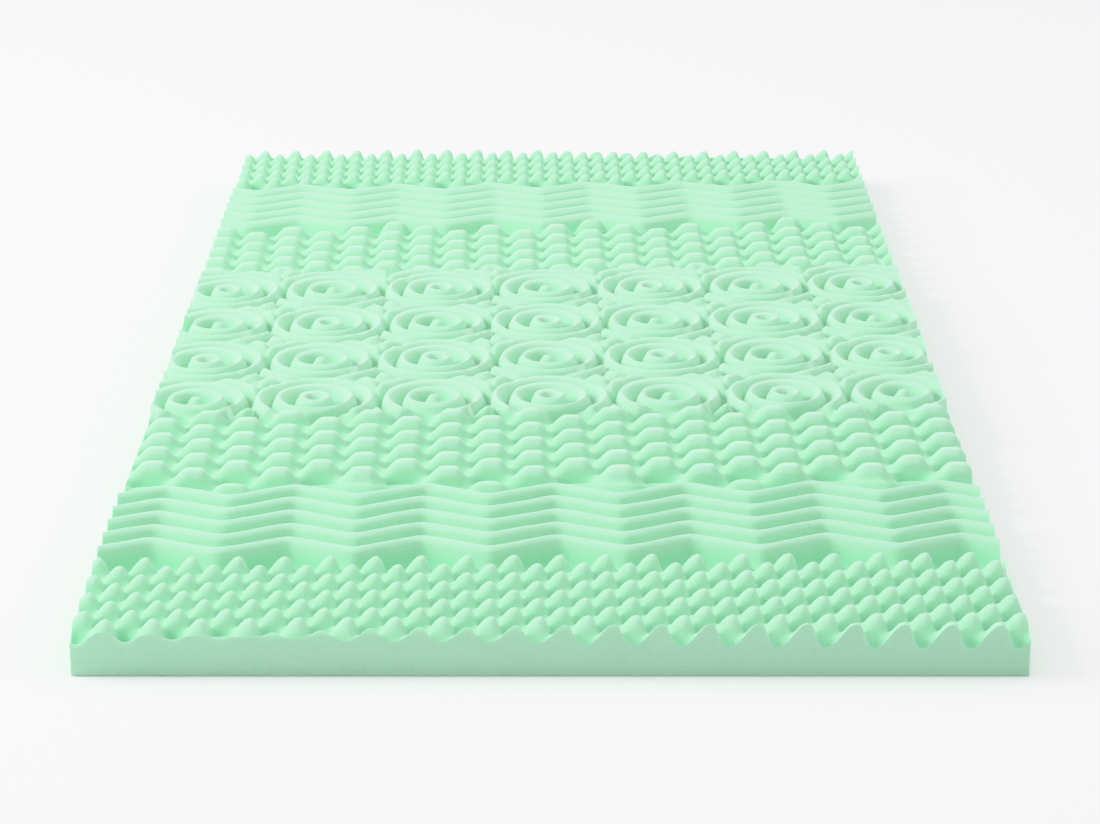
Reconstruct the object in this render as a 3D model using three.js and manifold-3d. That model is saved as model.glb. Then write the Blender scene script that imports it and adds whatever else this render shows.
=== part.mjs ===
// A single-bed mattress topper: one slab of soft convoluted foam, cut level underneath and on its four
// sides. Seven bands of relief cross its upper face from the foot to the head: round peaks, wavy ribs,
// flat-topped knobs, a broad middle band of ringed rounds, and then knobs, ribs and peaks again.
// Millimetres, +Z up. The origin is at the middle of the underside, and the length runs along Y.
import * as THREE from "three";
import { mergeVertices } from "three/addons/utils/BufferGeometryUtils.js";
import Module from "manifold-3d";

// The slab
const WIDTH = 920;
const LENGTH = 1880;
const THICKNESS = 55;

// Heights of the relief above the underside
const CREST = THICKNESS;
const SADDLE = 40.5;
const PIT = 28.5;
const ROUND_HOLE = 33;
const CELL_EDGE = 44;

// The foam is convoluted before it is cut to size, so the relief sits a little askew on the slab. Its
// columns turn to the left towards the head. Each entry below says how the relief lies at one place along
// the slab: how far it is shifted and spread sideways, by how many degrees its rows are turned, and how
// much its humps lean to the right and back for each millimetre of height.
const COLUMN_TURN = Math.tan(THREE.MathUtils.degToRad(1.0));
const LAY = [
  { place: -940, shifted: -5, spread: 1.007, turned: 1.1, right: 0.22, back: 0.17 },
  { place: -757, shifted: -7, spread: 1.005, turned: 1.0, right: 0.22, back: 0.17 },
  { place: -738, shifted: -5, spread: 1.003, turned: 1.0, right: 0, back: 0 },
  { place: -545, shifted: -5, spread: 1.003, turned: 1.1, right: 0, back: 0 },
  { place: -512, shifted: -8, spread: 1.006, turned: 1.3, right: 0.14, back: 0.1 },
  { place: -300, shifted: -8, spread: 1.005, turned: 1.7, right: 0.14, back: 0.1 },
  { place: -280, shifted: -3, spread: 0.995, turned: 1.9, right: 0, back: 0 },
  { place: 280, shifted: -3, spread: 0.992, turned: 2.2, right: 0, back: 0 },
  { place: 310, shifted: -9, spread: 0.997, turned: 2.1, right: 0.14, back: 0.1 },
  { place: 505, shifted: -9, spread: 0.996, turned: 2.0, right: 0.14, back: 0.1 },
  { place: 535, shifted: 0, spread: 0.995, turned: 2.0, right: 0, back: 0 },
  { place: 740, shifted: 0, spread: 0.994, turned: 1.9, right: 0, back: 0 },
  { place: 775, shifted: -5, spread: 0.993, turned: 1.9, right: 0.22, back: 0.17 },
  { place: 940, shifted: -5, spread: 0.993, turned: 1.9, right: 0.22, back: 0.17 },
];

// The relief repeats across the slab in tiles. Three peaks, or three knobs, fill one tile.
const TILE = 138;
const TILES = 7;
const HALF_SPREAD = (TILE * TILES) / 2;
const PEAK_PITCH = TILE / 3;

// Wavy ribs: how far the crest line swings each way within a tile
const RIB_SWING = 15;

// Flat-topped knobs: where their columns stand, and the size of the flat top
const KNOB_SHIFT = -20;
const KNOB_TOP_WIDTH = 24;
const KNOB_TOP_DEPTH = 12;

// Ringed rounds: each sits in a cell one tile wide, with a peak or a hole at its middle. The rings lie
// further out at different radii round a peak and round a hole. `floor` is the height of a groove there.
const CELL_LENGTH = 149;
const CELL_ROWS = 4;
const FIRST_CELL_ROW = -240;
const RINGS = [
  { roundPeak: 17, roundHole: 17.5, floor: 33, corners: 8 },
  { roundPeak: 31, roundHole: 26, floor: 36, corners: 12 },
  { roundPeak: 39, roundHole: 43, floor: 40, corners: 12 },
  { roundPeak: 56, roundHole: 50, floor: 40, corners: 16 },
  { roundPeak: 63, roundHole: 66, floor: 40, corners: 16 },
];
const CORNER_BUMP = { across: 57, along: 60 };
const CORNER_HOLLOW = 42;

// The bands of peaks, ribs and knobs. `first` is the place of the first line along the slab, and
// `step` is the distance to the next one. The far peaks reach further to the right, because the columns
// have turned to the left there.
const NEAR_PEAKS = { first: -969, lines: 10, reach: HALF_SPREAD };
const NEAR_RIBS = { first: -738.1, step: 19.6, lines: 11, swing: RIB_SWING };
const NEAR_LEDGE = { first: -526, swing: 11, height: 46, tileOffset: -TILE / 2 };
const NEAR_KNOBS = { first: -495.5, step: 24.75, lines: 8 };
const FAR_KNOBS = { first: 325, step: 25.25, lines: 8 };
const FAR_LEDGE = { first: 521, swing: -9, height: CREST, tileOffset: TILE / 2 };
const FAR_RIBS = { first: 531.2, step: 21.3, lines: 11, swing: -RIB_SWING };
const FAR_PEAKS = { first: 781.5, lines: 9, reach: HALF_SPREAD + PEAK_PITCH / 2 };

// How far the uncut block reaches below and above the finished slab
const BLOCK_MARGIN = 5;

const points = [];
const faces = [];
const placed = new Map();

// How the relief lies at a place along the slab, read between two entries of the table
function layAt(along) {
  const after = LAY.findIndex(({ place }) => place >= along);
  const next = LAY[after < 0 ? LAY.length - 1 : Math.max(after, 1)];
  const last = LAY[LAY.indexOf(next) - 1];
  const share = THREE.MathUtils.clamp((along - last.place) / (next.place - last.place), 0, 1);
  const read = (column) => THREE.MathUtils.lerp(last[column], next[column], share);
  return {
    shifted: read("shifted"),
    spread: read("spread"),
    rise: Math.tan(THREE.MathUtils.degToRad(read("turned"))),
    right: read("right"),
    back: read("back"),
  };
}

// A point of the relief, `across` and `along` being measured on its own askew lines. The same place
// always gives the same point, so neighbouring pieces of relief share their edges.
function pointAt(across, along, height) {
  const key = Math.round(across * 100) + "," + Math.round(along * 100);
  if (!placed.has(key)) {
    const { shifted, spread, rise, right, back } = layAt(along);
    const x = across * spread + shifted - along * COLUMN_TURN;
    const y = along + x * rise;
    placed.set(key, points.length / 3);
    points.push(x + (height - SADDLE) * right, y + (height - SADDLE) * back, height);
  }
  return placed.get(key);
}

// Fills the strip between two lines of points with triangles facing up. Each line is a list of
// { point, order }, `order` rising along it.
function fillBetween(lower, upper) {
  let i = 0;
  let j = 0;
  while (i < lower.length - 1 || j < upper.length - 1) {
    const lowerLeft = i < lower.length - 1;
    const upperLeft = j < upper.length - 1;
    if (lowerLeft && (!upperLeft || lower[i + 1].order <= upper[j + 1].order)) {
      faces.push(lower[i].point, lower[i + 1].point, upper[j].point);
      i += 1;
    } else {
      faces.push(lower[i].point, upper[j + 1].point, upper[j].point);
      j += 1;
    }
  }
}

// Evenly spaced places from one side of the relief to the other
function stations(step, inset = 0, reach = HALF_SPREAD) {
  const list = [];
  for (let across = -HALF_SPREAD + inset; across <= reach; across += step) {
    list.push(across);
  }
  return list;
}

// One line of relief across the slab. `alongAt` and `heightAt` give its place and height at each station.
function lineAcross(places, alongAt, heightAt) {
  return places.map((across, i) => ({
    point: pointAt(across, alongAt(across), heightAt(across, i)),
    order: across,
  }));
}

// Peaks and pits stand in turn on each line, half a pitch apart, with saddles between the lines.
function peakLines({ first, lines, reach }) {
  const step = PEAK_PITCH / 2;
  const saddles = [-HALF_SPREAD, ...stations(step, step / 2, reach), reach];
  const list = [];
  for (let line = 0; line < lines; line += 1) {
    const along = first + line * step;
    const places = stations(step, 0, reach);
    list.push(lineAcross(places, () => along, (across, i) => ((i + line) % 2 ? PIT : CREST)));
    if (line < lines - 1) {
      list.push(lineAcross(saddles, () => along + step / 2, () => SADDLE));
    }
  }
  return list;
}

// Ribs run across in zigzags, a groove first and last.
function ribLines({ first, step, lines, swing }) {
  const swingAt = (across) => swing * Math.cos((2 * Math.PI * across) / TILE);
  const list = [];
  for (let line = 0; line < lines; line += 1) {
    const height = line % 2 ? CREST : PIT;
    const alongAt = (across) => first + line * step + swingAt(across);
    list.push(lineAcross(stations(TILE / 4), alongAt, () => height));
  }
  return list;
}

// A ledge between ribs and knobs rises once every second tile, where the ribs draw back.
function ledgeLine({ first, swing, height, tileOffset }) {
  const alongAt = (across) => first + swing * Math.cos((2 * Math.PI * across) / TILE);
  const isRaised = (across) => Math.abs((across - tileOffset) % (2 * TILE)) < 1;
  return lineAcross(stations(TILE / 4), alongAt, (across) => (isRaised(across) ? height : PIT));
}

// Knobs and pits stand in turn along each line and from line to line. Each has a flat top or floor.
function knobLines({ first, step, lines }) {
  const places = [];
  for (let column = -10; column <= 11; column += 1) {
    for (const side of [-1, 1]) {
      const across = KNOB_SHIFT + column * PEAK_PITCH + (side * KNOB_TOP_WIDTH) / 2;
      places.push({ across: THREE.MathUtils.clamp(across, -HALF_SPREAD, HALF_SPREAD), column });
    }
  }
  const list = [];
  for (let line = 0; line < lines; line += 1) {
    for (const side of [-1, 1]) {
      const along = first + line * step + (side * KNOB_TOP_DEPTH) / 2;
      list.push(places.map(({ across, column }) => ({
        point: pointAt(across, along, (column + line) % 2 ? PIT : CREST),
        order: across,
      })));
    }
  }
  return list;
}

// The straight edge between rows of cells
function cellEdge(along) {
  return lineAcross(stations(TILE / 4), () => along, () => CELL_EDGE);
}

// A ringed round fills its cell: crests and grooves in turn from the middle outwards, then the cell's edge.
function ringCell(middleAcross, middleAlong, hasPeak) {
  const halfTile = TILE / 2;
  const halfCell = CELL_LENGTH / 2;
  const middle = { point: pointAt(middleAcross, middleAlong, hasPeak ? CREST : ROUND_HOLE), order: 0 };
  let inner = [middle];
  RINGS.forEach(({ roundPeak, roundHole, floor, corners }, ring) => {
    const radius = hasPeak ? roundPeak : roundHole;
    const height = (ring % 2 === 1) === hasPeak ? CREST : floor;
    const loop = [];
    for (let corner = 0; corner <= corners; corner += 1) {
      const angle = ((corner % corners) * 2 * Math.PI) / corners;
      const across = middleAcross + radius * Math.cos(angle);
      const along = middleAlong + radius * Math.sin(angle);
      loop.push({ point: pointAt(across, along, height), order: corner / corners });
    }
    fillBetween(loop, inner);
    inner = loop;
  });
  const quarter = (inner.length - 1) / 4;
  for (let side = 0; side < 4; side += 1) {
    // Each quarter turn goes from the middle of one edge, round a corner, to the middle of the next.
    const turnAcross = [1, 0, -1, 0][side];
    const turnAlong = [0, 1, 0, -1][side];
    const edge = [[0, 1], [0.5, 1], [1, 1], [1, 0.5], [1, 0]].map(([sideways, outwards]) => {
      const across = turnAcross * outwards - turnAlong * sideways;
      const along = turnAlong * outwards + turnAcross * sideways;
      return pointAt(middleAcross + across * halfTile, middleAlong + along * halfCell, CELL_EDGE);
    });
    const bumpAcross = middleAcross + (turnAcross - turnAlong) * CORNER_BUMP.across;
    const bumpAlong = middleAlong + (turnAlong + turnAcross) * CORNER_BUMP.along;
    const bump = pointAt(bumpAcross, bumpAlong, hasPeak ? CREST : CORNER_HOLLOW);
    const ringPart = inner.slice(side * quarter, (side + 1) * quarter + 1);
    const [start, afterStart, diagonal, beforeEnd, end] = ringPart.map(({ point }) => point);
    faces.push(start, edge[0], afterStart);
    faces.push(edge[0], edge[1], afterStart);
    faces.push(afterStart, edge[1], diagonal);
    faces.push(diagonal, edge[1], bump);
    faces.push(edge[1], edge[2], bump);
    faces.push(edge[2], edge[3], bump);
    faces.push(edge[3], diagonal, bump);
    faces.push(diagonal, edge[3], beforeEnd);
    faces.push(edge[3], edge[4], beforeEnd);
    faces.push(edge[4], end, beforeEnd);
  }
}

// Closes the relief into a block with upright walls and a level floor.
function closeBlock() {
  const edges = new Set();
  for (let face = 0; face < faces.length; face += 3) {
    for (let corner = 0; corner < 3; corner += 1) {
      edges.add(faces[face + corner] + "," + faces[face + ((corner + 1) % 3)]);
    }
  }
  const floorPoints = new Map();
  const floorUnder = (point) => {
    if (!floorPoints.has(point)) {
      floorPoints.set(point, points.length / 3);
      points.push(points[point * 3], points[point * 3 + 1], -BLOCK_MARGIN);
    }
    return floorPoints.get(point);
  };
  const floorMiddle = points.length / 3;
  points.push(0, 0, -BLOCK_MARGIN);
  for (const edge of edges) {
    const [start, end] = edge.split(",").map(Number);
    if (!edges.has(end + "," + start)) {
      faces.push(end, start, floorUnder(start));
      faces.push(end, floorUnder(start), floorUnder(end));
      faces.push(floorUnder(end), floorUnder(start), floorMiddle);
    }
  }
}

const nearLines = [
  ...peakLines(NEAR_PEAKS),
  ...ribLines(NEAR_RIBS),
  ledgeLine(NEAR_LEDGE),
  ...knobLines(NEAR_KNOBS),
  cellEdge(FIRST_CELL_ROW - CELL_LENGTH / 2),
];
const farLines = [
  cellEdge(FIRST_CELL_ROW + (CELL_ROWS - 0.5) * CELL_LENGTH),
  ...knobLines(FAR_KNOBS),
  ledgeLine(FAR_LEDGE),
  ...ribLines(FAR_RIBS),
  ...peakLines(FAR_PEAKS),
];
for (const lines of [nearLines, farLines]) {
  for (let line = 1; line < lines.length; line += 1) fillBetween(lines[line - 1], lines[line]);
}
for (let row = 0; row < CELL_ROWS; row += 1) {
  for (let column = 0; column < TILES; column += 1) {
    const across = (column - (TILES - 1) / 2) * TILE;
    ringCell(across, FIRST_CELL_ROW + row * CELL_LENGTH, (row + column) % 2 === 0);
  }
}
closeBlock();

// The block is trimmed to the slab's width and length, and its floor to the underside.
const wasm = await Module();
wasm.setup();

function solidFrom(positions, indices) {
  return new wasm.Manifold(new wasm.Mesh({
    numProp: 3,
    vertProperties: Float32Array.from(positions),
    triVerts: Uint32Array.from(indices),
  }));
}

const trimHeight = THICKNESS + BLOCK_MARGIN;
const trimBox = new THREE.BoxGeometry(WIDTH, LENGTH, trimHeight);
trimBox.translate(0, 0, trimHeight / 2);
trimBox.deleteAttribute("normal");
trimBox.deleteAttribute("uv");
const trimShape = mergeVertices(trimBox);
const trimSolid = solidFrom(trimShape.attributes.position.array, trimShape.index.array);

const slabMesh = solidFrom(points, faces).intersect(trimSolid).getMesh();

const geometry = new THREE.BufferGeometry();
geometry.setAttribute("position", new THREE.BufferAttribute(slabMesh.vertProperties, 3));
geometry.setIndex(new THREE.BufferAttribute(slabMesh.triVerts, 1));
geometry.computeVertexNormals();

const greenFoam = new THREE.MeshStandardMaterial({ color: 0xb4ecc9, roughness: 0.95, metalness: 0 });
const foamSlab = new THREE.Mesh(geometry, greenFoam);
foamSlab.name = "foam_slab";

const topper = new THREE.Group();
topper.add(foamSlab);

export default topper;
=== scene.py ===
# %% [markdown]
# # A mattress topper of convoluted foam
#
# The topper is one slab of soft foam for a single bed. Its underside is level, and its upper face has
# seven bands of relief from the foot to the head: round peaks, wavy ribs, flat-topped knobs, a broad
# band of ringed rounds, then knobs, ribs and peaks again. In the factory a thick sheet is squeezed
# between patterned rollers while a blade splits it, so the relief is cut rather than moulded. The slab
# is then trimmed straight through the relief. This lesson makes it the same way: a sheet is raised into
# relief first, and its four sides are cut afterwards.
#
# The lesson starts from a plain model of the slab, the frame, which fixes its real size and place.

import math

import bmesh
import bpy
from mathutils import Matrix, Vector, noise


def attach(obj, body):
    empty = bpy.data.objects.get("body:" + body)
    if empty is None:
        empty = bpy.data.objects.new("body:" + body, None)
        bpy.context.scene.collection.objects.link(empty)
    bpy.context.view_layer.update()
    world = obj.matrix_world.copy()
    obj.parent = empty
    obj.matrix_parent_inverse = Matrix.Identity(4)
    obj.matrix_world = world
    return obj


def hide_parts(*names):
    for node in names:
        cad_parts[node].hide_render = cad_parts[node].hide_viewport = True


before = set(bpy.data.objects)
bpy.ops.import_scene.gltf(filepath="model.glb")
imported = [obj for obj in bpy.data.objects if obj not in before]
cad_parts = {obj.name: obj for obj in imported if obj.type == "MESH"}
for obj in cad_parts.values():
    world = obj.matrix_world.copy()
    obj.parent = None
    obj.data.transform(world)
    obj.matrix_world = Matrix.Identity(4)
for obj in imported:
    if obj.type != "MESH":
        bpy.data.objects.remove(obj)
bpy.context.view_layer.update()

# %% [markdown]
# ## Sizes
#
# All the sizes are real ones in millimetres, and they turn into metres only when a point is placed. The
# relief is described on lines of its own, `across` and `along`, because foam never goes through the
# rollers quite straight: it is turned a degree or two, stretched, and dragged so that its humps lean.
# Moving every point by hand would do it too, but then nothing could be changed later. So `FED_IN` says
# how the relief lies at a few places along the slab: how far it is shifted and spread sideways, how far
# its rows are turned, and how much its humps lean to the right and back for each millimetre of height.
# `between` reads such a table at any place, and `on_slab` lays the relief's lines on the slab.

# %% Sizes of the slab and its relief
MM = 0.001
WIDTH, LENGTH = 920, 1880
CREST, SADDLE, PIT = 55, 40.5, 28.5    # heights above the underside
RING_GROOVE = 33                 # the floor of the holes in the ringed rounds

TILE = 138                       # the relief repeats across the slab in tiles this wide
TILES = 7
HALF_SPREAD = TILE * TILES / 2
PEAK_PITCH = TILE / 3

COLUMN_TURN = math.tan(math.radians(1.0))      # columns turn to the left towards the head
FED_IN = [
    # along, shifted mm, spread, rows turned degrees, leaning right, leaning back
    (-940, -5, 1.007, 1.1, 0.22, 0.17),
    (-757, -7, 1.005, 1.0, 0.22, 0.17),
    (-738, -5, 1.003, 1.0, 0.00, 0.00),
    (-545, -5, 1.003, 1.1, 0.00, 0.00),
    (-512, -8, 1.006, 1.3, 0.14, 0.10),
    (-300, -8, 1.005, 1.7, 0.14, 0.10),
    (-280, -3, 0.995, 1.9, 0.00, 0.00),
    (280, -3, 0.992, 2.2, 0.00, 0.00),
    (310, -9, 0.997, 2.1, 0.14, 0.10),
    (505, -9, 0.996, 2.0, 0.14, 0.10),
    (535, 0, 0.995, 2.0, 0.00, 0.00),
    (740, 0, 0.994, 1.9, 0.00, 0.00),
    (775, -5, 0.993, 1.9, 0.22, 0.17),
    (940, -5, 0.993, 1.9, 0.22, 0.17),
]


def between(value, table, column=1):
    """Straight-line reading of one column of a table whose first column is the place."""
    for low, high in zip(table, table[1:]):
        if value <= high[0]:
            share = max(value - low[0], 0) / (high[0] - low[0])
            return low[column] + (high[column] - low[column]) * share
    return table[-1][column]


def on_slab(across, along, above_saddle=0):
    """The place on the slab, in millimetres, of a place on the relief's own lines."""
    shifted, spread, turned, right, back = (between(along, FED_IN, column) for column in range(1, 6))
    x = across * spread + shifted - along * COLUMN_TURN
    y = along + x * math.tan(math.radians(turned))
    return x + right * above_saddle, y + back * above_saddle


print("The relief's middle lies on the slab at", [round(c, 1) for c in on_slab(0, 0)])

# %% [markdown]
# ## The rows of the sheet
#
# A grid gives a smooth crest only where its points lie on the crest. A very fine grid would do, but it
# would be heavy, so the rows of the grid are gathered to the lines of the relief before anything is
# raised. Each entry below says how many rows lead up to a line, where that line is, and how far it
# swings to and fro, because the ribs run in zigzags. The rows between two lines are shared out evenly,
# and they take up the swing little by little.

# %% Rows gathered to the lines of the relief
RIB_SWING = 15
NEAR_RIBS_START, NEAR_RIBS_END = -738.1, -542.1      # the first and the last groove
FAR_RIBS_START, FAR_RIBS_END = 531.2, 744.2
RINGS_START, RINGS_END = -314.5, 281.5
ROW_LINES = [
    # rows, along, swing
    (0, -969, 0),
    (46, -757.4, 0),
    (6, NEAR_RIBS_START, RIB_SWING),
    (40, NEAR_RIBS_END, RIB_SWING),
    (8, -505.4, 0),
    (39, RINGS_START, 0),
    (144, RINGS_END, 0),
    (47, 514, 0),
    (6, FAR_RIBS_START, -RIB_SWING),
    (30, FAR_RIBS_END, -RIB_SWING),
    (7, 776.9, 0),
    (41, 965.5, 0),
]
CELL_STEPS = 36                  # steps of the grid across one tile, and along one cell of the rings
SPARE_COLUMNS = 3                # on the right, where the columns turn away from the slab's far corner
COLUMNS = TILES * CELL_STEPS + SPARE_COLUMNS
ROWS = sum(rows for rows, _, _ in ROW_LINES)


def rows_table():
    """Place and swing of every row, from the foot to the head."""
    table = [ROW_LINES[0][1:]]
    for (_, start, start_swing), (rows, end, end_swing) in zip(ROW_LINES, ROW_LINES[1:]):
        for row in range(1, rows + 1):
            share = row / rows
            swing = start_swing + share * (end_swing - start_swing)
            table.append((start + share * (end - start), swing))
    return table


row_table = rows_table()
print("Rows:", ROWS, "columns:", COLUMNS, "faces in the sheet:", ROWS * COLUMNS)

# %% [markdown]
# ## The ringed rounds
#
# The middle band is a chequerboard of cells. Each holds a target of rings, in turn with a peak and with
# a hole at its middle. A square grid would break up such rings. Lathed rings would be round, but they
# would not meet the squares round them. So inside a cell the grid's own squares are bent to circles,
# gathered to the crests and grooves of the rings. The last steps go back from the outer circle to the
# square edge of the cell, where it meets its neighbours.

# %% Squares bent to circles
CELL_LENGTH = 149
CELL_ROWS = 4
FIRST_CELL_ROW = -240                                      # the middle of the first row of cells
FIRST_CELL_GRID_ROW = sum(rows for rows, along, _ in ROW_LINES if along <= RINGS_START)
RING_STEPS = [
    # step, radius
    (0, 0), (3, 17.3), (5, 26), (6, 31), (8, 39), (9, 43), (11, 50.5), (12, 56),
]
PEAK_RADII = [0, 17, 31, 39, 56, 63, 78, 86, 102, 112]     # crest, groove, crest, groove and so on
HOLE_RADII = [0, 17.5, 26, 43, 50, 66, 74, 90, 98, 114]    # groove, crest, groove, crest and so on


def bent_to_circle(step_across, step_along):
    """Place in a cell, from its middle, of the grid point that many steps across and along."""
    out = max(abs(step_across), abs(step_along))
    if out == 0:
        return 0.0, 0.0
    half = CELL_STEPS / 2
    square = (step_across / half * TILE / 2, step_along / half * CELL_LENGTH / 2)
    last_step = RING_STEPS[-1][0]
    radius = between(min(out, last_step), RING_STEPS)
    angle = math.atan2(step_along, step_across)
    circle = (radius * math.cos(angle), radius * math.sin(angle))
    if out <= last_step:
        return circle
    share = (out - last_step) / (half - last_step)
    edge = (square[0] / out * half, square[1] / out * half)
    return tuple(c + share * (e - c) for c, e in zip(circle, edge))


print("Sixth step on the diagonal lies at radius", round(math.hypot(*bent_to_circle(6, 6)), 2), "mm")

# %% [markdown]
# ## The shape of each band
#
# Every band is a wave between -1, the floor of a pit, and 1, a crest. The peaks are two cosines
# multiplied, which sets them in staggered rows like an egg-box. The ribs are one cosine whose lines
# swing, drawn straighter because the rollers press them with plain flanks. The knobs are two waves
# multiplied that are level along their crests, so that their tops are flat. The rings are a cosine of
# the distance from the middle of their cell, turned over in every second cell. Waves are easier to join
# and to tune than modelled shapes, and every hump is the same size by itself.

# %% Peaks and ribs
PEAK_SQUARENESS, PEAK_FULLNESS = 0.8, 0.05
RIBS = 5


def eased(value):
    """From 0 to 1, level at both ends."""
    value = min(max(value, 0.0), 1.0)
    return value * value * (3 - 2 * value)


def egg_box(turn_across, turn_along, squareness, fullness):
    """Humps and pits in staggered rows. Squareness flattens them, and fullness narrows the pits."""
    wave = math.cos(turn_across) * math.cos(turn_along)
    return math.tanh(squareness * (wave + fullness * (1 - wave * wave))) / math.tanh(squareness)


def peaks(across, along):
    """Round peaks in staggered rows, with a row of crests where `along` is 0."""
    turn = 2 * math.pi / PEAK_PITCH
    return egg_box(turn * (across - PEAK_PITCH / 2), turn * along, PEAK_SQUARENESS, PEAK_FULLNESS)


def straightened(wave, soft=0.96):
    """Turns a cosine into straight slopes with softened corners."""
    return math.asin(soft * wave) / math.asin(soft)


def rib_swing(across):
    """A zigzag from -1 to 1, 1 at the middle of a tile."""
    return straightened(math.cos(2 * math.pi * across / TILE))


def ribs(from_first_groove, pitch):
    """Grooves and crests after the first groove, and a level floor outside the band."""
    if from_first_groove < 0 or from_first_groove > RIBS * pitch:
        return -1.0
    return straightened(-math.cos(2 * math.pi * from_first_groove / pitch))


beside_crest = peaks(PEAK_PITCH / 2 + 10, 0)
print("A peak's wave 10 mm from its crest is", round(beside_crest, 2))

# %% Knobs and rings
KNOB_COLUMN = -20                      # where one column of knobs stands, across
KNOB_FLAT_ACROSS, KNOB_FLAT_ALONG = 0.3, 0.45
KNOB_STEEPNESS = 1.25
RING_SOFT, HOLE_SOFT = 0.93, 0.6       # nearer 1 is straighter
RING_FULLNESS, MIDDLE_FULLNESS = 0.2, 0.5
MIDDLE_RADIUS = 17
OUTER_SHALLOWER, OUTER_REACH = 0.3, 20


def flat_topped(turn, flat):
    """Level along a share of each crest and pit, with straight slopes and softened corners between."""
    slope = straightened(math.cos(turn), 0.99) / (1 - flat)
    at_crest = KNOB_STEEPNESS / (1 - flat) ** 3 + 1 / (1 - flat)
    return math.tanh(KNOB_STEEPNESS * slope ** 3 + slope) / math.tanh(at_crest)


def knobs(across, from_first_line, step):
    """Knobs slope down to the sides and fall steeply before and behind."""
    return (flat_topped(math.pi * (across - KNOB_COLUMN) / PEAK_PITCH, KNOB_FLAT_ACROSS)
            * flat_topped(math.pi * from_first_line / step, KNOB_FLAT_ALONG))


def rings(radius, has_peak):
    """A cone or a round hole with rings about it, which are shallower than the middle."""
    radii = PEAK_RADII if has_peak else HOLE_RADII
    turns = between(radius, [(r, turn) for turn, r in enumerate(radii)])
    in_middle = turns <= 1
    soft = HOLE_SOFT if in_middle and not has_peak else RING_SOFT
    wave = straightened(math.cos(math.pi * turns), soft) * (1 if has_peak else -1)
    wave += (MIDDLE_FULLNESS if in_middle else RING_FULLNESS) * (1 - wave * wave)
    shallower = 1 - OUTER_SHALLOWER * eased((radius - MIDDLE_RADIUS) / OUTER_REACH)
    return 1 - (1 - wave) * shallower


NEAR_KNOBS_STEP, FAR_KNOBS_STEP = 24.75, 25.25
near_middle = knobs(KNOB_COLUMN + 12, 0, NEAR_KNOBS_STEP)
print("A knob's wave 12 mm from its middle is", round(near_middle, 2))

# %% [markdown]
# The blade can't cut a cliff in soft foam: neighbouring cells meet in a soft step. So close to a shared
# edge the rings of both cells are mixed, by more the nearer the edge is. Cutting each cell on its own
# would leave a sharp seam there.

# %% Cells of rings side by side
CELL_BLEND = 6


def ring_cells(across, along):
    """The rings of the cell that holds the place, mixed with its neighbours' near its edges."""
    column = round(across / TILE)
    row = min(max(round((along - FIRST_CELL_ROW) / CELL_LENGTH), 0), CELL_ROWS - 1)

    def in_cell(column, row):
        from_middle = (across - column * TILE, along - FIRST_CELL_ROW - row * CELL_LENGTH)
        return rings(math.hypot(*from_middle), (row + column) % 2 == 1)

    def to_edge(place, half):
        return 0.5 * eased((abs(place) - half + CELL_BLEND) / CELL_BLEND)

    place_across = across - column * TILE
    place_along = along - FIRST_CELL_ROW - row * CELL_LENGTH
    next_column = column + (1 if place_across > 0 else -1)
    next_row = row + (1 if place_along > 0 else -1)
    share_across = to_edge(place_across, TILE / 2)
    height = in_cell(column, row) * (1 - share_across) + in_cell(next_column, row) * share_across
    if 0 <= next_row < CELL_ROWS:
        share_along = to_edge(place_along, CELL_LENGTH / 2)
        beyond = (in_cell(column, next_row) * (1 - share_across)
                  + in_cell(next_column, next_row) * share_across)
        height = height * (1 - share_along) + beyond * share_along
    return height


middles = [ring_cells(cell * TILE, FIRST_CELL_ROW) for cell in range(-2, 3)]
print("The waves at the middles of five cells are", middles)

# %% [markdown]
# ## The bands joined end to end
#
# On the real foam each band meets the next over a few millimetres, and the blade runs smoothly from one
# relief into the other. So the waves of neighbouring bands are mixed there, which seven separate pieces
# would not do. Where ribs meet knobs, a ledge rises at every second tile, and near the foot a long ramp
# rises between the ledges, because there the ribs draw back and leave room for them.

# %% Ribs with their ledges
NEAR_RIB_PITCH, FAR_RIB_PITCH = 39.2, 42.6
# each is the middle across and along, half the width and half the length
NEAR_LEDGE = (-TILE / 2, -531, 25, 13)
NEAR_RAMP = (TILE / 2, -500, 27, 70)
FAR_LEDGE = (TILE / 2, 530, 22, 11)
RAMP_START, RAMP_LENGTH = -557, 62
LEDGE_RISE, FULL_RISE = 1.7, 2           # a wave rises by 2 from a pit to a crest


def ledge(across, along, middle_across, middle_along, half_width, half_length):
    """A low rounded block, 1 at its middle and 0 outside."""
    from_across = (across - middle_across + TILE) % (2 * TILE) - TILE
    square = (from_across / half_width) ** 4 + ((along - middle_along) / half_length) ** 4
    return math.exp(-square)


def near_ribs(across, along):
    """The ribs near the foot, with a ledge and a ramp in turn behind them."""
    swing = RIB_SWING * rib_swing(across)
    wave = ribs(along - NEAR_RIBS_START - swing, NEAR_RIB_PITCH)
    if along > NEAR_RIBS_END + swing:
        wave += LEDGE_RISE * ledge(across, along, *NEAR_LEDGE)
        ramp = eased((along - RAMP_START) / RAMP_LENGTH)
        wave += FULL_RISE * ramp * ledge(across, along, *NEAR_RAMP)
    return wave


def far_ribs(across, along):
    """The ribs near the head swing the other way, with ledges before them."""
    swing = -RIB_SWING * rib_swing(across)
    wave = ribs(along - FAR_RIBS_START - swing, FAR_RIB_PITCH)
    if along < FAR_RIBS_START + swing:
        wave += FULL_RISE * ledge(across, along, *FAR_LEDGE)
    return wave


on_ledge, beside_ledge = near_ribs(*NEAR_LEDGE[:2]), near_ribs(0, -519)
print("The wave on a ledge is", round(on_ledge, 2), "and beside it", round(beside_ledge, 2))

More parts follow.
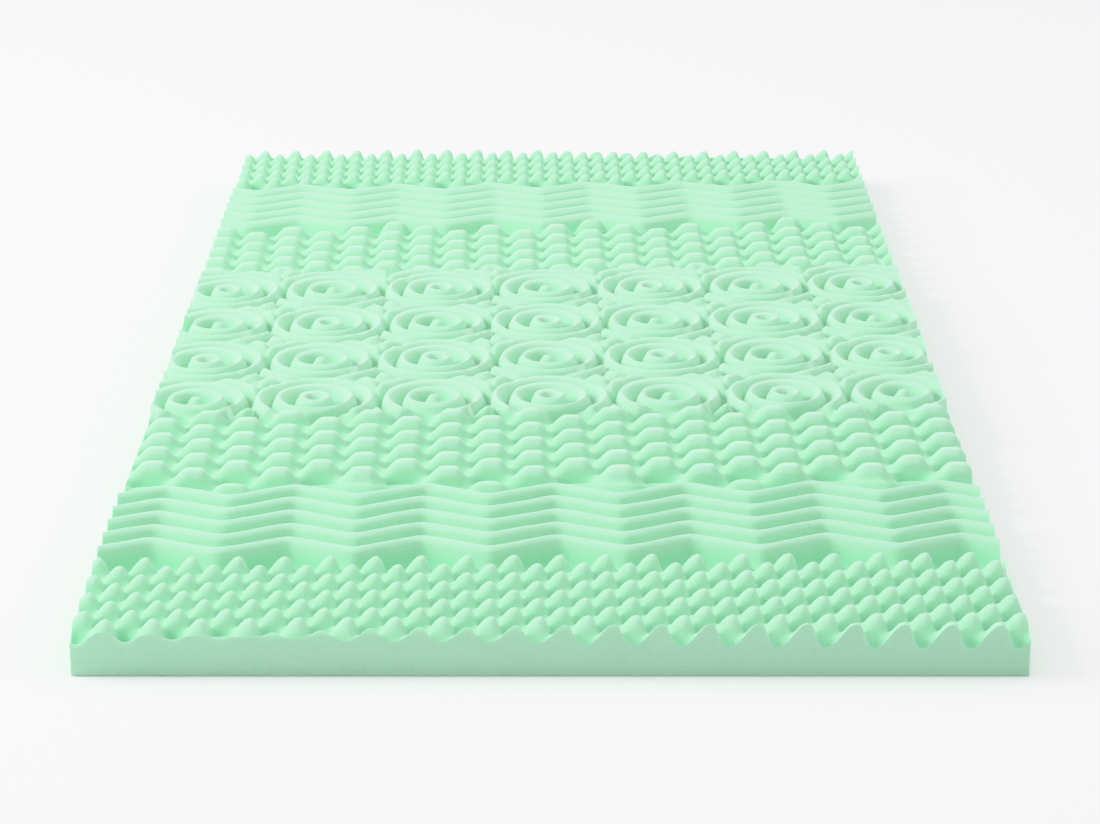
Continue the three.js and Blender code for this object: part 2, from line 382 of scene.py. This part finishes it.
# %% Seven bands in a row
NEAR_PEAKS_LINE, FAR_PEAKS_LINE = -923, 919.5        # a row of crests in each band
NEAR_KNOBS_LINE, FAR_KNOBS_LINE = -495.5, 325
BANDS = [
    # wave, where it starts, how far it is mixed with the band before
    (lambda across, along: peaks(across, along - NEAR_PEAKS_LINE), -999, 1),
    (near_ribs, -751, 7),
    (lambda across, along: knobs(across, along - NEAR_KNOBS_LINE, NEAR_KNOBS_STEP), -512, 7),
    (ring_cells, -288, 6),
    (lambda across, along: knobs(across, along - FAR_KNOBS_LINE, FAR_KNOBS_STEP), 298, 8),
    (far_ribs, 517, 6),
    (lambda across, along: peaks(across, along - FAR_PEAKS_LINE), 768, 7),
]
NO_MORE_BANDS = (None, 9999, 1)                      # far past the head, so the last band never ends
RING_FLOOR_FROM, RING_FLOOR_TO, RING_FLOOR_MIX = -296, 290, 16


def wave_at(across, along):
    """The wave of the band at a place, or a mixture of two bands where they meet."""
    wave = 0.0
    for (band, start, mixed), (_, end, end_mixed) in zip(BANDS, BANDS[1:] + [NO_MORE_BANDS]):
        weight = eased((along - start + mixed) / (2 * mixed))
        weight *= 1 - eased((along - end + end_mixed) / (2 * end_mixed))
        if weight > 0:
            wave += weight * band(across, along)
    return min(max(wave, -1.0), 1.0)


def height_at(across, along):
    """Height above the underside, in millimetres. Grooves between rings are less deep than pits."""
    wave = wave_at(across, along)
    in_rings = eased((along - RING_FLOOR_FROM) / RING_FLOOR_MIX)
    in_rings *= 1 - eased((along - RING_FLOOR_TO) / RING_FLOOR_MIX)
    floor = PIT + (RING_GROOVE - PIT) * in_rings
    middle = SADDLE + ((CREST + RING_GROOVE) / 2 - SADDLE) * in_rings
    bend = (CREST + floor) / 2 - middle
    return middle + (CREST - floor) / 2 * wave + bend * wave * wave


print("Heights down the middle, mm:", [round(height_at(0, along)) for along in range(-900, 901, 150)])

# %% [markdown]
# ## Raising the sheet
#
# `create_grid` makes a flat sheet a little larger than the slab, with one column for each step across a
# tile. Every point of it is then moved to its place on the lines of the relief and up to its height. A
# Displace modifier could raise it too, but it can't move points sideways onto the crests and round the
# rings. Foam gives as it is cut, so the lines also wander by a millimetre or so, and the crests aren't
# all quite as high, which slow and quicker noise does.

# %% The unevenness of the cut
SLOW_TURNS, QUICK_TURNS = 6, 25            # of the noise, in each metre
SLOW_WANDER, QUICK_WANDER = 2.2, 0.5       # millimetres
CREST_WANDER, CREST_LOSS = 0.9, 0.5


def wander(x, y, height):
    """Slight unevenness of the cut, in millimetres. Each way reads its own plane of the noise."""
    slow = Vector((x * SLOW_TURNS, y * SLOW_TURNS, 0.5))
    quick = Vector((x * QUICK_TURNS, y * QUICK_TURNS, 4.5))
    other = Vector((0, 0, 7))
    sideways = noise.noise(slow) * SLOW_WANDER + noise.noise(quick) * QUICK_WANDER
    lengthways = noise.noise(slow + other) * SLOW_WANDER + noise.noise(quick + other) * QUICK_WANDER
    upwards = noise.noise(quick + Vector((0, 0, 3))) * CREST_WANDER * (height - PIT) / (CREST - PIT)
    return sideways, lengthways, min(upwards - CREST_LOSS, 0.0)


print("Wander at the middle, mm:", [round(w, 2) for w in wander(0, 0, CREST)])

# %% The raised sheet
def place_in_relief(column, row):
    """Where a point of the grid goes on the relief's own lines, in millimetres."""
    across = column * TILE / CELL_STEPS - HALF_SPREAD
    along, swing = row_table[row]
    if not FIRST_CELL_GRID_ROW < row < FIRST_CELL_GRID_ROW + CELL_ROWS * CELL_STEPS:
        return across, along + swing * rib_swing(across)
    from_middle = column - TILES * CELL_STEPS / 2
    cell_column = round(from_middle / CELL_STEPS)
    cell_row = min(max((row - FIRST_CELL_GRID_ROW) // CELL_STEPS, 0), CELL_ROWS - 1)
    step_across = from_middle - cell_column * CELL_STEPS
    step_along = row - FIRST_CELL_GRID_ROW - (cell_row + 0.5) * CELL_STEPS
    bent = bent_to_circle(step_across, step_along)
    return cell_column * TILE + bent[0], FIRST_CELL_ROW + cell_row * CELL_LENGTH + bent[1]


sheet = bmesh.new()
sawn = sheet.faces.layers.float.new("sawn")
bmesh.ops.create_grid(sheet, x_segments=COLUMNS, y_segments=ROWS, size=1)
for point in sheet.verts:
    column = round((point.co.x + 1) / 2 * COLUMNS)
    row = round((point.co.y + 1) / 2 * ROWS)
    across, along = place_in_relief(column, row)
    height = height_at(across, along)
    x, y = on_slab(across, along, height - SADDLE)
    sideways, lengthways, upwards = wander(x * MM, y * MM, height)
    point.co = Vector((x + sideways, y + lengthways, height + upwards)) * MM
print("Points raised:", len(sheet.verts), "from", round(min(p.co.z for p in sheet.verts) / MM, 1),
      "to", round(max(p.co.z for p in sheet.verts) / MM, 1), "mm")

# %% [markdown]
# ## Trimming and closing the slab
#
# The finished slab is sawn to size, straight through the humps. `bisect_plane` cuts the sheet along the
# slab's four sides and throws away what lies outside, which leaves the true outline of the cut: a wave
# where it crosses the peaks, and nearly level where it passes between them. A Boolean would do it as
# well, but it needs a closed solid first. The open edge is then drawn straight down to the underside
# and closed with one flat face.

# %% Four cuts, the walls and the underside
NEAREST = 0.00002        # points nearer the cut than this, in metres, are taken onto it
for normal, half in ((Vector((1, 0, 0)), WIDTH / 2), (Vector((-1, 0, 0)), WIDTH / 2),
                     (Vector((0, 1, 0)), LENGTH / 2), (Vector((0, -1, 0)), LENGTH / 2)):
    bmesh.ops.bisect_plane(sheet, geom=sheet.verts[:] + sheet.edges[:] + sheet.faces[:], dist=NEAREST,
                           plane_co=normal * half * MM, plane_no=normal, clear_outer=True)
rim = [edge for edge in sheet.edges if edge.is_boundary]
for edge in rim:
    edge.smooth = False
walls = bmesh.ops.extrude_edge_only(sheet, edges=rim)["geom"]
wall_faces = [part for part in walls if isinstance(part, bmesh.types.BMFace)]
foot_edges = [part for part in walls if isinstance(part, bmesh.types.BMEdge) and part.is_boundary]
for point in {point for edge in foot_edges for point in edge.verts}:
    point.co.z = 0
for edge in foot_edges:
    edge.smooth = False
underside = bmesh.ops.contextual_create(sheet, geom=foot_edges)["faces"]
print("Rim edges:", len(rim), "wall faces:", len(wall_faces), "faces underneath:", len(underside))

# %% [markdown]
# The walls and the underside were cut with a plain blade and look a little greyer than the relief,
# since they show open cells end on. Their green is also a little darker, as painted shade. A second
# material could do that, but one number on each face keeps a single one and tells it which is which.
# The relief is shaded smooth and the sawn faces flat, with crisp corners between them, and the normals
# are set to point outwards.

# %% Mark the sawn faces
CORNER = 1.0             # radians; sawn faces that meet at more than this have a crisp corner
for face in wall_faces + underside:
    face[sawn] = 1.0
for face in sheet.faces:
    face.smooth = face[sawn] == 0
corner_edges = [edge for edge in sheet.edges
                if len(edge.link_faces) == 2 and edge.calc_face_angle(0) > CORNER
                and all(face[sawn] == 1 for face in edge.link_faces)]
for edge in corner_edges:
    edge.smooth = False
bmesh.ops.recalc_face_normals(sheet, faces=sheet.faces)
print("Crisp corner edges:", len(corner_edges))

# %% The finished slab
mesh = bpy.data.meshes.new("convoluted_foam")
sheet.to_mesh(mesh)
sheet.free()
mesh.calc_loop_triangles()
topper = bpy.data.objects.new("convoluted_foam", mesh)
bpy.context.collection.objects.link(topper)
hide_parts("foam_slab")
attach(topper, "root")
print("Triangles in the slab:", len(mesh.loop_triangles))

# %% [markdown]
# ## The foam's material
#
# Soft polyurethane foam is blown: gas makes cells about a millimetre wide, and the thin struts between
# them scatter light, so the surface is quite matt and glows a little from within. Light that bounces
# about in a pit meets the dye again and again, so the floors look a deeper green than the crests. That
# deeper green is painted into the colour as shade, and the crests get a paler green as painted light.
# The blade opens the cells, which gives a fine grain and a few dark specks. A picture of foam could be
# laid over the slab, but nodes keep the grain at its real size on every side, so the material is made
# of them. Two helpers come first: one turns sRGB hex colours to linear, and one adds a node.

# %% A helper for colours and one for nodes
def linear(hex_colour):
    """An sRGB hex colour as linear red, green, blue and alpha."""
    channels = [int(hex_colour[i:i + 2], 16) / 255 for i in (1, 3, 5)]
    return [c / 12.92 if c <= 0.04045 else ((c + 0.055) / 1.055) ** 2.4 for c in channels] + [1.0]


def add_node(tree, kind, settings=None, links=None):
    """Adds a node. `settings` sets properties and sockets, and `links` joins sockets to other nodes."""
    node = tree.nodes.new(kind)
    for name, value in (settings or {}).items():
        if isinstance(name, str) and hasattr(node, name):
            setattr(node, name, value)
        else:
            node.inputs[name].default_value = value
    for name, source in (links or {}).items():
        tree.links.new(source, node.inputs[name])
    return node


# The pit green is painted shade and the crest green is painted light.
PIT_PAINTED_SHADE_GREEN, SLOPE_GREEN, CREST_PAINTED_LIGHT_GREEN, SAWN_GREEN_PARTLY_PAINTED_SHADE = "#92d8ae", "#a5d9b8", "#b4dbc4", "#a2cbb2"
print("Green of the crests, linear:", [round(c, 3) for c in linear(CREST_PAINTED_LIGHT_GREEN)])

# %% [markdown]
# The colour is built up in three layers. A ramp over the height above the underside paints shade into
# the pits as a deeper green and light onto the crests as a paler one. A large, soft mottle follows,
# since dye never spreads quite evenly. Specks come last, where a larger cell lies open. Object
# coordinates carry them all: the slab's mesh is at its real size and place, so a pattern's scale is
# simply one over its size in metres. The sawn faces get a greyer green through the number that they
# carry. It is greyer for their open cells and a little darker as painted shade.

# %% Open-cell foam: its colour
MOTTLE_SIZE = 45         # millimetres
SPECK_SIZE = 2.4
SLOPE_HEIGHT = 0.6       # from a pit's floor, 0, to a crest, 1

foam = bpy.data.materials.new("open_cell_polyurethane_foam_blade_cut")
foam.use_nodes = True
tree = foam.node_tree
shader = tree.nodes["Principled BSDF"]
place = add_node(tree, "ShaderNodeTexCoord").outputs["Object"]
height = add_node(tree, "ShaderNodeSeparateXYZ", links={"Vector": place}).outputs["Z"]
# Height from a pit's floor to a crest, which lays on the painted shade and the painted light.
shade_and_light_height = add_node(tree, "ShaderNodeMapRange",
                 {"From Min": PIT * MM, "From Max": CREST * MM}, {"Value": height}).outputs["Result"]
painted_shade_and_light_ramp = add_node(tree, "ShaderNodeValToRGB", links={"Fac": shade_and_light_height})
ramp = painted_shade_and_light_ramp.color_ramp
ramp.elements[0].color = linear(PIT_PAINTED_SHADE_GREEN)
ramp.elements[1].color = linear(CREST_PAINTED_LIGHT_GREEN)
ramp.elements.new(SLOPE_HEIGHT).color = linear(SLOPE_GREEN)
mottle = add_node(tree, "ShaderNodeTexNoise",
                  {"Scale": 1 / (MOTTLE_SIZE * MM), "Detail": 3.0}, {"Vector": place}).outputs["Fac"]
mottle_shade = add_node(tree, "ShaderNodeMapRange", {"To Min": 0.96, "To Max": 1.03}, {"Value": mottle})
# The sawn faces' green is greyer for their open cells, and a little darker as painted shade.
sawn_part = add_node(tree, "ShaderNodeAttribute", {"attribute_name": "sawn"}).outputs["Fac"]
A_COLOUR, B_COLOUR, MIXED_COLOUR = 6, 7, 2      # a Mix node's sockets share names, so they go by number
sawn_mix = add_node(tree, "ShaderNodeMix", {"data_type": "RGBA", B_COLOUR: linear(SAWN_GREEN_PARTLY_PAINTED_SHADE)},
                    {"Factor": sawn_part, A_COLOUR: painted_shade_and_light_ramp.outputs["Color"]})
shaded = add_node(tree, "ShaderNodeVectorMath", {"operation": "SCALE"},
                  {0: sawn_mix.outputs[MIXED_COLOUR], "Scale": mottle_shade.outputs["Result"]})
openings = add_node(tree, "ShaderNodeTexNoise",
                    {"Scale": 1 / (SPECK_SIZE * MM), "Detail": 2.0, "Roughness": 0.7}, {"Vector": place})
speck = add_node(tree, "ShaderNodeMapRange",
                 {"From Min": 0.62, "From Max": 0.74, "To Min": 1.0, "To Max": 0.82},
                 {"Value": openings.outputs["Fac"]})
speckled = add_node(tree, "ShaderNodeVectorMath", {"operation": "SCALE"},
                    {0: shaded.outputs["Vector"], "Scale": speck.outputs["Result"]})
tree.links.new(speckled.outputs["Vector"], shader.inputs["Base Color"])
print("Nodes for the colour:", len(tree.nodes))

# %% [markdown]
# The grain of open cells is too fine to model, so a bump takes its place: each cell of a Voronoi texture
# is a dent. Subsurface scattering lets light soak a few millimetres into the foam, which softens the
# shadows in the pits, and green goes furthest. A little sheen stands for the fine struts at grazing
# angles. Foam has almost no gloss, so the roughness is high and the specular level low.

# %% Open-cell foam: its grain and its scatter
CELL_SIZE = 1.3          # millimetres; real cells are nearer 0.8, drawn coarser so that they show
GRAIN_DEPTH = 0.4
SCATTER_DEPTH = 6

cells = add_node(tree, "ShaderNodeTexVoronoi",
                 {"Scale": 1 / (CELL_SIZE * MM)}, {"Vector": place})
grain = add_node(tree, "ShaderNodeBump", {"Strength": 0.25, "Distance": GRAIN_DEPTH * MM},
                 {"Height": cells.outputs["Distance"]})
tree.links.new(grain.outputs["Normal"], shader.inputs["Normal"])
shader.inputs["Roughness"].default_value = 0.92
shader.inputs["Specular IOR Level"].default_value = 0.25
shader.inputs["Subsurface Weight"].default_value = 0.35
shader.inputs["Subsurface Radius"].default_value = (0.6, 1.0, 0.75)
shader.inputs["Subsurface Scale"].default_value = SCATTER_DEPTH * MM
shader.inputs["Sheen Weight"].default_value = 0.15
shader.inputs["Sheen Roughness"].default_value = 0.6
mesh.materials.append(foam)
print("Nodes in the foam:", len(tree.nodes))

# %% [markdown]
# ## Floor, light and camera
#
# A flat thing is shown best on a plain pale floor, which lets its outline stand clear and throws light
# back up at its sides. One large square is enough, in white paint put on with a roller, which is dead
# matt and so mirrors no lamp. It lies half a millimetre under the foam, so that the two don't flicker
# where they touch.

# %% A plain white floor
FLOOR_REACH = 12         # metres each way from the middle
FLOOR_GAP = 0.0005

floor_mesh = bpy.data.meshes.new("floor")
floor_shape = bmesh.new()
bmesh.ops.create_grid(floor_shape, x_segments=1, y_segments=1, size=FLOOR_REACH)
floor_shape.to_mesh(floor_mesh)
floor_shape.free()
floor = bpy.data.objects.new("floor", floor_mesh)
bpy.context.collection.objects.link(floor)
floor.location.z = -FLOOR_GAP

white_paint = bpy.data.materials.new("matt_white_paint_rolled")
white_paint.use_nodes = True
paint = white_paint.node_tree.nodes["Principled BSDF"]
paint.inputs["Base Color"].default_value = linear("#fbfbfb")
paint.inputs["Roughness"].default_value = 0.95
paint.inputs["Specular IOR Level"].default_value = 0.1
floor_mesh.materials.append(white_paint)
print("Floor is", floor.dimensions.x, "m wide")

# %% [markdown]
# Relief needs light from one side. A large square lamp on the left gives the humps a lit and a shaded
# flank, weak lamps on the right and above keep the shaded ones soft, and an even pale sky fills the
# pits. The view transform is one made for showing goods: it rolls the brightest tones off gently, so
# that the lit flanks stay green, where the plain one would bleach them.

# %% Soft studio light
def soft_lamp(name, place, aim, size, power):
    """A square white lamp that faces `aim`. Size in metres, power in watts."""
    light = bpy.data.lights.new(name, "AREA")
    light.size = size
    light.energy = power
    lamp = bpy.data.objects.new(name, light)
    bpy.context.collection.objects.link(lamp)
    lamp.location = place
    lamp.rotation_euler = (Vector(aim) - Vector(place)).to_track_quat("-Z", "Y").to_euler()
    return lamp


soft_lamp("softbox_left", (-3.4, 0.1, 2.0), (0, 0, 0), 2.0, 200)
soft_lamp("softbox_right", (3.4, 0.1, 2.0), (0, 0, 0), 2.0, 8)
soft_lamp("softbox_above", (0, 0.8, 3.2), (0, 0.2, 0), 3.2, 6)

sky = bpy.data.worlds.new("pale_sky")
sky.use_nodes = True
sky.node_tree.nodes["Background"].inputs["Color"].default_value = linear("#ffffff")
sky.node_tree.nodes["Background"].inputs["Strength"].default_value = 1.0
bpy.context.scene.world = sky
bpy.context.scene.view_settings.view_transform = "Khronos PBR Neutral"

# %% [markdown]
# The camera stands at the foot and looks down over the whole length. Close by, a wide lens would show
# it too, but it would squeeze the far rings into lines, so a long lens stands well back instead.

# %% Camera at the foot of the topper
CAMERA_HEIGHT = 1.208
CAMERA_TO_FOOT = 2.787
CAMERA_TILT = 18.65          # degrees below level
FOCAL_LENGTH = 103.2         # millimetres
SENSOR_WIDTH = 36

lens = bpy.data.cameras.new("camera")
lens.lens = FOCAL_LENGTH
lens.sensor_width = SENSOR_WIDTH
camera = bpy.data.objects.new("camera", lens)
bpy.context.collection.objects.link(camera)
camera.location = (0, -LENGTH / 2 * MM - CAMERA_TO_FOOT, CAMERA_HEIGHT)
camera.rotation_euler = (math.radians(90 - CAMERA_TILT), 0, 0)
bpy.context.scene.camera = camera
print("Camera at", [round(c, 3) for c in camera.location])
